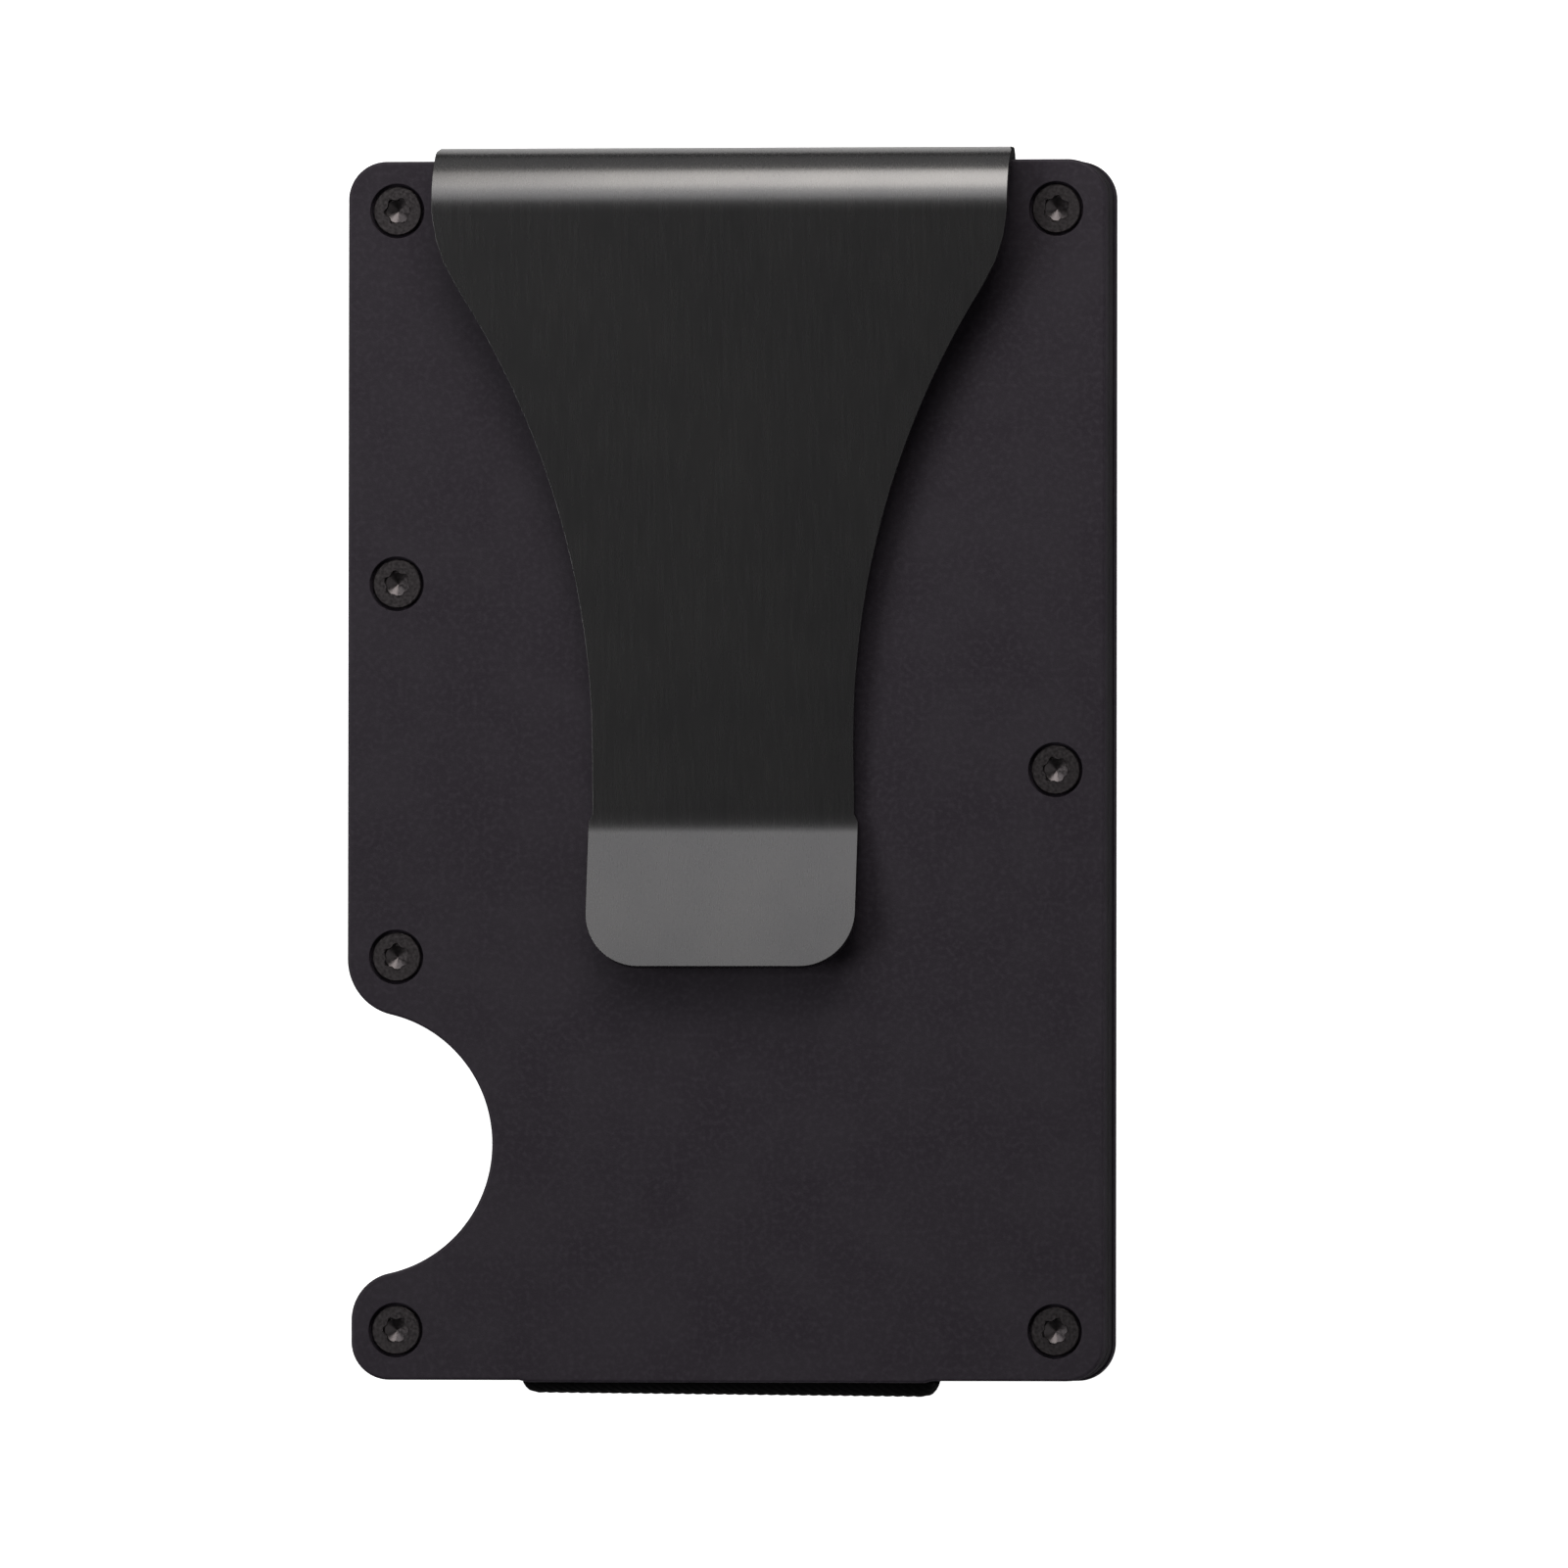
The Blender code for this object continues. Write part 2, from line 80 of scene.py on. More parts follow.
# Screws
HEAD_RADIUS = 0.00172
HEAD_BREAK = 0.00008
SHANK_RADIUS = 0.00085
HEAD_HEIGHT = 0.0010
HEAD_DROP = 0.00006
SCREW_LENGTH = 0.00275
THREAD_PITCH = 0.00040
THREAD_DEPTH = 0.00015
THREAD_START = 0.0002  # below the head's cone
SCREW_TURN = 17  # degrees from one screw's socket to the next one's
SOCKET_RADIUS = 0.00095
SOCKET_BREAK = 0.00004
SOCKET_DEPTH = 0.00028
DRILL_RADIUS = 0.00082
DRILL_POINT = 0.00042
DRILL_TIP = 0.00002  # radius
LOBE_SWING = 0.12
COUNTERSINK_RADIUS = 0.00194
COUNTERSINK_WALL = 0.0003  # the upright wall at the face
CLEARANCE_HOLE = 0.0011
TAPPED_HOLE = 0.0010

# Pockets of the inner plates
CHANNEL_DEPTH = 0.00095
POCKET_MARGIN = 0.0003

# Clip
CLIP_LOW, CLIP_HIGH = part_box("money_clip")
MOUNT_LOW, MOUNT_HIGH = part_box("money_clip_mount")
CLIP_SHEET = 0.0008
CLIP_EDGE_ROUND = 0.00002
HEAD_HALF = CLIP_HIGH.x
WALL_HALF = 0.0203
WALL_TAPER = 0.0003
BEND_DEPTH = 0.0044
BEND_HEIGHT = 0.0035
SHOULDER_Y = 0.0400
SHOULDER_RADIUS = 0.0110
NECK_Y = 0.0019
NECK_HALF = 0.0093
CREASE_Y = -0.00364
CREASE_RISE = 0.0010
CREASE_RADIUS = 0.006
LIP_HALF = 0.0096
LIP_STEP = 0.0006
LIP_END_Y = CLIP_LOW.y
LIP_CORNER = 0.00385
LIP_ANGLE = math.radians(12.0)
EAR_INNER_X = 0.0156
EAR_OUTER_X = MOUNT_HIGH.x
EAR_LOW_Y = MOUNT_LOW.y
EAR_HIGH_Y = 0.0423
EAR_CORNER = 0.0008
EAR_BEND_RADIUS = 0.00085
WINDOW_TOP_Z = 0.00505

# Elastic
LOOP_LOW, LOOP_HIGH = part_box("elastic_loop")
STRAP_LOW, STRAP_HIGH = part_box("elastic_side_strap")
ELASTIC_THICKNESS = 0.00075
ELASTIC_CORNER = 0.0011
ELASTIC_END_ROUND = 0.0011
ELASTIC_END_FADE = 0.96
BULGE_SCALE = 1.02
BULGE_LEAN = 0.13  # the share by which the bulge grows towards the right and shrinks towards the left
RIB_PITCH = 0.00075
RIB_HEIGHT = 0.00005
RIB_STEPS = 8  # points across one rib
HEM_LENGTH = 0.0020
HEM_THICKNESS = 0.00145
HEM_ROUND = 0.0004
STRAP_EDGE_SINK = 0.00012  # how far the strap's two edges are rounded in

# Camera
VIEW_RIGHT = math.radians(8.8)
VIEW_DOWN = math.radians(0.8)
VIEW_ROLL = 0.0014
VIEW_DISTANCE = 2.05
FRAME_WIDTH = 0.11045
AIM = Vector((0.00418, -0.00097, FACE_Z))
SENSOR_WIDTH = 36.0

# Studio
FLOOR_HALF = 3.0
FLOOR_DROP = 0.0001
BACKDROP_RADIUS = 3.5
CARD_GAP = 0.0003
CARD_DEPTH = 0.013
CARD_PAST_LEFT = 0.003
WORLD_STRENGTH = 0.032

FINE = 18  # steps in a quarter turn
PAST = 0.001  # how far a cutter passes the face that it opens


# ---------------------------------------------------------------- mesh helpers


def arc(centre, radius, start, end, steps):
    """Points along an arc, with both ends. The angles are in degrees."""
    angles = (math.radians(start + (end - start) * i / steps) for i in range(steps + 1))
    return [(centre[0] + radius * math.cos(a), centre[1] + radius * math.sin(a)) for a in angles]


def mesh_from(name, points, faces):
    """A mesh whose faces all point outwards."""
    bm = bmesh.new()
    verts = [bm.verts.new(point) for point in points]
    for face in faces:
        bm.faces.new([verts[index] for index in face])
    bmesh.ops.recalc_face_normals(bm, faces=bm.faces)
    mesh = bpy.data.meshes.new(name)
    bm.to_mesh(mesh)
    bm.free()
    return mesh


def stacked(rings):
    """Points and faces of a closed body through rings of equal length, capped at both ends."""
    count = len(rings[0])
    points = [point for ring in rings for point in ring]
    faces = [tuple(reversed(range(count)))]
    for level in range(len(rings) - 1):
        low = level * count
        for i in range(count):
            j = (i + 1) % count
            faces.append((low + i, low + j, low + count + j, low + count + i))
    faces.append(tuple(range(len(points) - count, len(points))))
    return points, faces


def new_object(name, mesh):
    obj = bpy.data.objects.new(name, mesh)
    bpy.context.scene.collection.objects.link(obj)
    return obj


def prism(name, outline, axis, low, high):
    """A closed outline extruded along X, Y or Z. The outline lists the other two coordinates."""
    spot = "xyz".index(axis)

    def lift(pair, height):
        values = list(pair)
        values.insert(spot, height)
        return tuple(values)

    rings = [[lift(pair, height) for pair in outline] for height in (low, high)]
    return mesh_from(name, *stacked(rings))


def turned(name, profile, places, sides=64):
    """Closed bodies turned about Z through a (radius, height) profile, one at each place."""
    points = []
    faces = []
    for x, y in places:
        rings = [
            [(x + px, y + py, z) for px, py in arc((0.0, 0.0), radius, 0, 360, sides)[:-1]]
            for radius, z in profile
        ]
        body_points, body_faces = stacked(rings)
        faces += [tuple(index + len(points) for index in face) for face in body_faces]
        points += body_points
    return mesh_from(name, points, faces)


def apply_modifiers(obj):
    """Bakes the object's modifiers into its mesh."""
    graph = bpy.context.evaluated_depsgraph_get()
    mesh = bpy.data.meshes.new_from_object(obj.evaluated_get(graph), depsgraph=graph)
    obj.modifiers.clear()
    obj.data = mesh


def carve(obj, *cutters):
    """Takes the cutter meshes away from the object, for good."""
    helpers = []
    for mesh in cutters:
        helper = new_object(mesh.name, mesh)
        helpers.append(helper)
        modifier = obj.modifiers.new(mesh.name, "BOOLEAN")
        modifier.operation = "DIFFERENCE"
        modifier.solver = "EXACT"
        modifier.object = helper
    bpy.context.view_layer.update()
    apply_modifiers(obj)
    for helper in helpers:
        bpy.data.objects.remove(helper, do_unlink=True)


def shade(obj, material, angle=30):
    """Smooth shading with sharp edges kept, flat faces kept flat, and the material."""
    mesh = obj.data
    mesh.materials.clear()
    mesh.materials.append(material)
    mesh.shade_smooth()
    mesh.set_sharp_from_angle(angle=math.radians(angle))
    normals = obj.modifiers.new("weighted_normals", "WEIGHTED_NORMAL")
    normals.keep_sharp = True


# ---------------------------------------------------------------- plates


def screw_places():
    """(x, y) of each screw of the front half, by the end of its node's name."""
    start = "front_screw_"
    places = {}
    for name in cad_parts:
        if name.startswith(start):
            low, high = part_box(name)
            places[name[len(start):]] = ((low.x + high.x) / 2, (low.y + high.y) / 2)
    return places


def notch_fillet(radius, edge_x):
    """The arc that joins an upright edge to the notch: its centre's x and height, and its sweep."""
    x = edge_x + radius
    height = math.sqrt((NOTCH_RADIUS + radius) ** 2 - (x - NOTCH_X) ** 2)
    return x, height, math.degrees(math.atan2(height, x - NOTCH_X))


def plate_outline(inset, land=0.0):
    """The plate's outline, anticlockwise, moved inwards, with a land that stands out over the elastic."""
    radius = CORNER_RADIUS - inset
    x = EDGE_X - CORNER_RADIUS
    y = EDGE_Y - CORNER_RADIUS
    upper_x, upper_height, upper_sweep = notch_fillet(UPPER_FILLET, -EDGE_X)
    lower_x, lower_height, lower_sweep = notch_fillet(LOWER_FILLET, HORN_INSET - EDGE_X)
    bottom = inset - EDGE_Y
    outline = arc((HORN_INSET - x, -y), radius, 180, 270, FINE)
    outline += [(-LAND_HALF - LAND_RAMP, bottom), (-LAND_HALF, bottom - land)]
    outline += [(LAND_HALF, bottom - land), (LAND_HALF + LAND_RAMP, bottom)]
    outline += arc((x, -y), radius, 270, 360, FINE)
    outline += arc((x, y), radius, 0, 90, FINE)
    outline += arc((-x, y), radius, 90, 180, FINE)
    outline += arc((upper_x, NOTCH_Y + upper_height), UPPER_FILLET - inset, 180, 180 + upper_sweep, FINE)
    outline += arc((NOTCH_X, NOTCH_Y), NOTCH_RADIUS + inset, upper_sweep, -lower_sweep, 4 * FINE)[1:-1]
    outline += arc((lower_x, NOTCH_Y - lower_height), LOWER_FILLET - inset, 180 - lower_sweep, 180, FINE)
    return outline


def plate_body(name, levels, land=0.0):
    """A plate through (height, inset) levels, from its lowest to its highest."""
    rings = [[(x, y, z) for x, y in plate_outline(inset, land)] for z, inset in levels]
    return new_object(name, mesh_from(name, *stacked(rings)))


def outer_plate(side, material):
    """A cover plate: a rounded outer edge, a broken inner edge and seven countersunk holes."""
    node = f"outer_plate_{side}"
    low, high = STACK[node]
    face, under, outwards = (high, low, 1) if side == "front" else (low, high, -1)
    levels = [(under, FINE_BREAK), (under + outwards * FINE_BREAK, 0.0)]
    for step in range(EDGE_ROUND_STEPS + 1):
        turn = math.radians(90 * step / EDGE_ROUND_STEPS)
        inset = EDGE_ROUND * (1 - math.cos(turn))
        levels.append((face - outwards * EDGE_ROUND * (1 - math.sin(turn)), inset))
    obj = plate_body(f"cover_plate_{side}", sorted(levels), LAND_RISE)
    slope = COUNTERSINK_RADIUS - CLEARANCE_HOLE
    rim = COUNTERSINK_RADIUS + FINE_BREAK
    profile = [
        (CLEARANCE_HOLE, under - outwards * PAST),
        (CLEARANCE_HOLE, face - outwards * (COUNTERSINK_WALL + slope)),
        (COUNTERSINK_RADIUS, face - outwards * COUNTERSINK_WALL),
        (COUNTERSINK_RADIUS, face - outwards * FINE_BREAK / 2),
        (rim, face),
        (rim + PAST, face + outwards * PAST / 2),
    ]
    carve(obj, turned(f"countersinks_{side}", profile, screw_places().values()))
    finish_piece(obj, side_body(side), material, node)


def inner_plate(side, material):
    """A liner plate with the pockets for the elastic and the clip, and seven tapped holes."""
    node = f"inner_plate_{side}"
    low, high = STACK[node]
    outward_face, inward_face, outwards = (high, low, 1) if side == "front" else (low, high, -1)
    floor = outward_face - outwards * CHANNEL_DEPTH
    levels = [
        (low, INNER_INSET + FINE_BREAK),
        (low + FINE_BREAK, INNER_INSET),
        (high - FINE_BREAK, INNER_INSET),
        (high, INNER_INSET + FINE_BREAK),
    ]
    obj = plate_body(f"liner_plate_{side}", levels)
    profile = [(TAPPED_HOLE, low - PAST), (TAPPED_HOLE, high + PAST)]
    holes = turned(f"tapped_holes_{side}", profile, screw_places().values(), sides=32)
    strap = strap_pocket(side, floor, inward_face, outwards)
    carve(obj, band_channel(side, floor, outwards), strap, holes)
    finish_piece(obj, side_body(side), material, node)


def band_channel(side, floor, outwards):
    """The cutter for the elastic loop's channel and, on the front half, the pockets of the clip's ears."""
    half = LOOP_HIGH.x + POCKET_MARGIN
    end = EDGE_Y + PAST
    outline = [(-half, -end), (half, -end)]
    if side == "front":
        ear_x = EAR_OUTER_X + POCKET_MARGIN
        ear_y = EAR_LOW_Y - POCKET_MARGIN
        outline += [(half, ear_y), (ear_x, ear_y), (ear_x, end)]
        outline += [(-ear_x, end), (-ear_x, ear_y), (-half, ear_y)]
    else:
        outline += [(half, end), (-half, end)]
    return prism(f"channel_{side}", outline, "z", floor, floor + outwards * (CHANNEL_DEPTH + PAST))


def strap_pocket(side, floor, inward_face, outwards):
    """The cutter for the side strap: its channel, the recess at the edge and the slot for the hem."""
    top = floor + outwards * (CHANNEL_DEPTH + PAST)
    through = inward_face - outwards * PAST
    edge = -STRAP_LOW.x - ELASTIC_THICKNESS - INNER_INSET
    slot_left = STRAP_HIGH.x - HEM_LENGTH - POCKET_MARGIN
    slot_right = STRAP_HIGH.x + POCKET_MARGIN
    outer_x = EDGE_X + PAST
    outline = [(-outer_x, through), (-edge, through), (-edge, floor), (slot_left, floor)]
    outline += [(slot_left, through), (slot_right, through), (slot_right, top), (-outer_x, top)]
    strap_half = STRAP_HIGH.y + POCKET_MARGIN
    return prism(f"strap_pocket_{side}", outline, "y", -strap_half, strap_half)


def side_body(side):
    return f"{side}_half"


def finish_piece(obj, body, material, node):
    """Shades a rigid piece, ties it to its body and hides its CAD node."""
    shade(obj, material)
    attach(obj, body)
    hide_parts(node)


# ---------------------------------------------------------------- screws


def screw_mesh():
    """A countersunk screw, face at z = 0 and shank down. Its six-lobe socket ends in a drill point."""
    sides = 72
    turns = [2 * math.pi * i / sides for i in range(sides)]

    def circle(radius, z):
        return [(radius * math.cos(a), radius * math.sin(a), z) for a in turns]

    def lobes(radius, z):
        reach = [radius * (1 + LOBE_SWING * math.cos(6 * a)) / (1 + LOBE_SWING) for a in turns]
        return [(r * math.cos(a), r * math.sin(a), z) for r, a in zip(reach, turns)]

    rings = [
        circle(DRILL_TIP, -SOCKET_DEPTH - DRILL_POINT),
        circle(DRILL_RADIUS, -SOCKET_DEPTH),
        lobes(SOCKET_RADIUS, -SOCKET_DEPTH),
        lobes(SOCKET_RADIUS, -SOCKET_BREAK),
        lobes(SOCKET_RADIUS + SOCKET_BREAK, 0.0),
        circle(HEAD_RADIUS - HEAD_BREAK, 0.0),
        circle(HEAD_RADIUS, -HEAD_BREAK),
        circle(SHANK_RADIUS, -HEAD_HEIGHT),
    ]
    z = -HEAD_HEIGHT - THREAD_START
    while z > THREAD_PITCH - SCREW_LENGTH:
        rings.append(circle(SHANK_RADIUS, z))
        rings.append(circle(SHANK_RADIUS - THREAD_DEPTH, z - THREAD_PITCH / 2))
        z -= THREAD_PITCH
    rings.append(circle(SHANK_RADIUS, z))
    rings.append(circle(SHANK_RADIUS - THREAD_DEPTH, -SCREW_LENGTH))
    return mesh_from("countersunk_screw", *stacked(rings))


def make_screws(material):
    mesh = screw_mesh()
    mesh.materials.append(material)
    mesh.shade_smooth()
    mesh.set_sharp_from_angle(angle=math.radians(24))
    for number, name in enumerate(sorted(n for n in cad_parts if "_screw_" in n)):
        low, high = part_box(name)
        front = name.startswith("front")
        obj = new_object(f"{name}_fine", mesh)
        z = FACE_Z - HEAD_DROP if front else HEAD_DROP
        obj.location = ((low.x + high.x) / 2, (low.y + high.y) / 2, z)
        obj.rotation_euler = (0.0 if front else math.pi, 0.0, math.radians(SCREW_TURN * number))
        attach(obj, "front_half" if front else "back_half")
        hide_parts(name)


# ---------------------------------------------------------------- money clip


def clip_half_width(y):
    """Half the clip's width at a place along it: wall, head, shoulder, sweep, neck and lip."""
    wall_y = CLIP_HIGH.y
    if y >= wall_y - WALL_TAPER:
        return HEAD_HALF - (HEAD_HALF - WALL_HALF) * (y - wall_y + WALL_TAPER) / WALL_TAPER
    if y >= SHOULDER_Y:
        return HEAD_HALF
    shoulder_x = HEAD_HALF - SHOULDER_RADIUS
    rise = SHOULDER_Y - NECK_Y
    run = shoulder_x - NECK_HALF
    sweep = (run**2 + rise**2 - SHOULDER_RADIUS**2) / (2 * (run + SHOULDER_RADIUS))
    touch_y = SHOULDER_Y - rise * SHOULDER_RADIUS / (sweep + SHOULDER_RADIUS)
    if y >= touch_y:
        return shoulder_x + math.sqrt(SHOULDER_RADIUS**2 - (y - SHOULDER_Y) ** 2)
    if y >= NECK_Y:
        return NECK_HALF + sweep - math.sqrt(sweep**2 - (y - NECK_Y) ** 2)
    if y > CREASE_Y + LIP_STEP:
        return NECK_HALF
    if y > CREASE_Y:
        return LIP_HALF - (LIP_HALF - NECK_HALF) * (y - CREASE_Y) / LIP_STEP
    round_y = LIP_END_Y + LIP_CORNER
    if y >= round_y:
        return LIP_HALF
    return LIP_HALF - LIP_CORNER + math.sqrt(max(LIP_CORNER**2 - (y - round_y) ** 2, 0.0))


def turn_between(start, corner, end, radius, steps):
    """An arc of that radius that rounds the corner between two straight runs."""
    first = (Vector(start) - Vector(corner)).normalized()
    second = (Vector(end) - Vector(corner)).normalized()
    half = first.angle(second) / 2
    reach = radius / math.tan(half)
    middle = (first + second).normalized() * (radius / math.sin(half))
    centre = Vector(corner) + middle
    a = Vector(corner) + first * reach - centre
    b = Vector(corner) + second * reach - centre
    sweep = a.angle_signed(b)
    points = []
    for i in range(steps + 1):
        angle = -sweep * i / steps
        cos, sin = math.cos(angle), math.sin(angle)
        points.append((centre.x + a.x * cos - a.y * sin, centre.y + a.x * sin + a.y * cos))
    return points


def clip_path():
    """The sheet's outer face in Y and Z: ear, lower bend, wall, upper bend, tongue, crease and lip."""
    ear_z = MOUNT_LOW.z
    outer_y = CLIP_HIGH.y
    small = EAR_BEND_RADIUS
    path = [(EAR_LOW_Y, ear_z), (EAR_HIGH_Y, ear_z)]
    path += arc((outer_y - small, ear_z + small), small, -90, 0, 10)
    path += [(outer_y, WINDOW_TOP_Z)]
    centre_y = outer_y - BEND_DEPTH
    for step in range(32):
        turn = math.radians(3 * step)
        path.append((centre_y + BEND_DEPTH * math.cos(turn), FACE_Z + BEND_HEIGHT * math.sin(turn)))
    crease = (CREASE_Y, FACE_Z + CREASE_RISE)
    end = (LIP_END_Y, crease[1] + (CREASE_Y - LIP_END_Y) * math.tan(LIP_ANGLE))
    start = path[-1]
    turned_in = turn_between(start, crease, end, CREASE_RADIUS, 8)
    path += [tuple(Vector(start).lerp(Vector(turned_in[0]), i / 24)) for i in range(1, 24)]
    path += turned_in
    path += [tuple(Vector(turned_in[-1]).lerp(Vector(end), i / 6)) for i in range(1, 7)]
    return path


def measured(path):
    """Distances along the path to each of its points."""
    lengths = [0.0]
    for a, b in zip(path, path[1:]):
        lengths.append(lengths[-1] + (Vector(b) - Vector(a)).length)
    return lengths


def path_normals(path):
    """The path's outward normal at each point. The sheet lies on the other side."""
    normals = []
    for i in range(len(path)):
        along = Vector(path[min(i + 1, len(path) - 1)]) - Vector(path[max(i - 1, 0)])
        normals.append(Vector((along.y, -along.x)).normalized())
    return normals


def clip_outline(path, lengths):
    """The clip's flat pattern: x across, and the distance along the sheet's outer face."""
    outer_y = CLIP_HIGH.y
    first_bend = next(i for i, (y, z) in enumerate(path) if y >= outer_y - 1e-7)
    ear_high = lengths[1]
    window = lengths[next(i for i, (y, z) in enumerate(path) if z >= WINDOW_TOP_Z - 1e-7)]
    right = [(EAR_INNER_X, window)]
    right += arc((EAR_INNER_X + EAR_CORNER, EAR_CORNER), EAR_CORNER, 180, 270, 6)
    right += arc((EAR_OUTER_X - EAR_CORNER, EAR_CORNER), EAR_CORNER, 270, 360, 6)
    right += arc((EAR_OUTER_X - EAR_CORNER, ear_high - EAR_CORNER), EAR_CORNER, 0, 90, 6)
    right += [(WALL_HALF, ear_high)]
    last = len(path) - 1
    for i in range(first_bend, last):
        right.append((clip_half_width(path[i][0]), lengths[i]))
    corner_start = lengths[last] - LIP_CORNER / math.cos(LIP_ANGLE)
    right = [point for point in right if point[1] < corner_start - 1e-6]
    stretch = 1 / math.cos(LIP_ANGLE)
    for x, y in arc((LIP_HALF - LIP_CORNER, 0.0), LIP_CORNER, 0, 90, FINE):
        right.append((x, corner_start + y * stretch))
    left = [(-x, s) for x, s in reversed(right)]
    return right + left


def flat_sheet(outline, stations):
    """A flat sheet of the outline, cut across at the stations, with rounded edges."""
    bm = bmesh.new()
    verts = [bm.verts.new((x, s, 0.0)) for x, s in outline]
    bm.faces.new(verts)
    for s in stations:
        geometry = bm.verts[:] + bm.edges[:] + bm.faces[:]
        bmesh.ops.bisect_plane(bm, geom=geometry, plane_co=(0, s, 0), plane_no=(0, 1, 0), dist=1e-8)
    bmesh.ops.recalc_face_normals(bm, faces=bm.faces)
    if bm.faces[0].normal.z < 0:
        bmesh.ops.reverse_faces(bm, faces=bm.faces)
    top = bm.faces[:]
    made = bmesh.ops.extrude_face_region(bm, geom=top)
    under = [item for item in made["geom"] if isinstance(item, bmesh.types.BMVert)]
    bmesh.ops.translate(bm, verts=under, vec=(0, 0, -CLIP_SHEET))
    bmesh.ops.recalc_face_normals(bm, faces=bm.faces)
    rims = [
        edge
        for edge in bm.edges
        if len(edge.link_faces) == 2 and edge.calc_face_angle(0.0) > math.radians(60)
        and abs(edge.verts[0].co.z - edge.verts[1].co.z) < 1e-7
    ]
    bmesh.ops.bevel(
        bm, geom=rims, offset=CLIP_EDGE_ROUND, segments=3, profile=0.5, affect="EDGES", clamp_overlap=True
    )
    return bm


def bent(bm, path, lengths):
    """Bends the flat sheet along the path: its distance along the sheet turns into a place on the path."""
    normals = path_normals(path)
    for vert in bm.verts:
        s = min(max(vert.co.y, 0.0), lengths[-1])
        i = next((k for k in range(1, len(lengths)) if lengths[k] >= s), len(lengths) - 1)
        share = (s - lengths[i - 1]) / (lengths[i] - lengths[i - 1])
        place = Vector(path[i - 1]).lerp(Vector(path[i]), share)
        normal = normals[i - 1].lerp(normals[i], share).normalized()
        place += normal * vert.co.z
        vert.co = (vert.co.x, place.x, place.y)


def make_clip(material):
    """The whole spring-steel sheet in one piece, from the ears under the plate to the flared lip."""
    path = clip_path()
    lengths = measured(path)
    bm = flat_sheet(clip_outline(path, lengths), lengths[1:-1])
    bent(bm, path, lengths)
    bmesh.ops.recalc_face_normals(bm, faces=bm.faces)
    mesh = bpy.data.meshes.new("clip_sheet")
    bm.to_mesh(mesh)
    bm.free()
    obj = new_object("clip_sheet", mesh)
    places = screw_places()
    profile = [(CLEARANCE_HOLE, MOUNT_LOW.z - PAST), (CLEARANCE_HOLE, MOUNT_LOW.z + CLIP_SHEET + PAST)]
    carve(obj, turned("ear_holes", profile, [places["top_left"], places["top_right"]]))
    shade(obj, material)
    apply_modifiers(obj)
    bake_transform(obj)
    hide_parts("money_clip", "money_clip_mount")


# ---------------------------------------------------------------- elastic


def rib(across):
    """How far the woven ribs stand out at a place across the band."""
    return RIB_HEIGHT * (0.5 - 0.5 * math.cos(2 * math.pi * across / RIB_PITCH))


def loop_path():
    """The loop's outer face in Y and Z with its outward normals, round a rounded rectangle."""
    y_low, z_low = LOOP_LOW.y, LOOP_LOW.z
    y_high, z_high = LOOP_HIGH.y, LOOP_HIGH.z
    r = ELASTIC_CORNER
    corners = (
        ((y_low + r, z_low + r), 180),
        ((y_high - r, z_low + r), 270),
        ((y_high - r, z_high - r), 0),
        ((y_low + r, z_high - r), 90),
    )
    path = []
    for centre, turn in corners:
        for y, z in arc(centre, r, turn, turn + 90, 10):
            path.append(((y, z), Vector((y - centre[0], z - centre[1])).normalized()))
    return densified(path, short=0.0004, long=0.004)


def densified(path, short, long):
    """Adds points on a closed path's straight runs: close together on the upright ones."""
    dense = []
    for i, (point, normal) in enumerate(path):
        after, after_normal = path[(i + 1) % len(path)]
        dense.append((point, normal))
        gap = (Vector(after) - Vector(point)).length
        upright = abs(after[0] - point[0]) < 1e-7
        steps = max(1, round(gap / (short if upright else long)))
        for k in range(1, steps):
            share = k / steps
            dense.append((tuple(Vector(point).lerp(Vector(after), share)), normal.lerp(after_normal, share)))
    return dense


def band_section(half, thickness):
    """The band's cross-section: (across, depth below the outer face), ribbed on both faces."""
    count = round(2 * half / RIB_PITCH) * RIB_STEPS
    edge = thickness / 2
    outer = []
    for i in range(count + 1):
        x = (half - edge) * (2 * i / count - 1)
        outer.append((x, RIB_HEIGHT - rib(x + half)))
    turns = (0.5, 1.0, 1.57, 2.1, 2.6)  # radians round the band's edge
    right = [(half - edge + edge * math.sin(a), edge - edge * math.cos(a)) for a in turns]
    inner = [(x, thickness - depth) for x, depth in reversed(outer)]
    left = [(-x, depth) for x, depth in reversed(right)]
    return outer + right + inner + left


def ends_relaxed(x, y):
    """The bulge past the bottom edge fades in a round corner at the band's two edges."""
    half = LOOP_HIGH.x
    past = -EDGE_Y - y
    if past <= 0:
        return y
    inside = min(max((abs(x) - (half - ELASTIC_END_ROUND)) / ELASTIC_END_ROUND, 0.0), 1.0)
    keep = math.sqrt(1 - (ELASTIC_END_FADE * inside) ** 2)
    lean = BULGE_SCALE + BULGE_LEAN * x / half
    return -EDGE_Y - past * keep * lean


def make_loop(material):
    """The endless elastic band, ribbed along its length."""
    section = band_section(LOOP_HIGH.x, ELASTIC_THICKNESS)
    points = []
    for (y, z), normal in loop_path():
        for x, depth in section:
            place_y = ends_relaxed(x, y - normal.x * depth)
            points.append((x, place_y, z - normal.y * depth))
    count = len(section)
    turns = len(points) // count
    faces = []
    for i in range(turns):
        for j in range(count):
            a, b = i * count + j, i * count + (j + 1) % count
            c, d = ((i + 1) % turns) * count + (j + 1) % count, ((i + 1) % turns) * count + j
            faces.append((a, b, c, d))
    obj = new_object("elastic_band", mesh_from("elastic_band", points, faces))
    finish_elastic(obj, material, "elastic_loop")


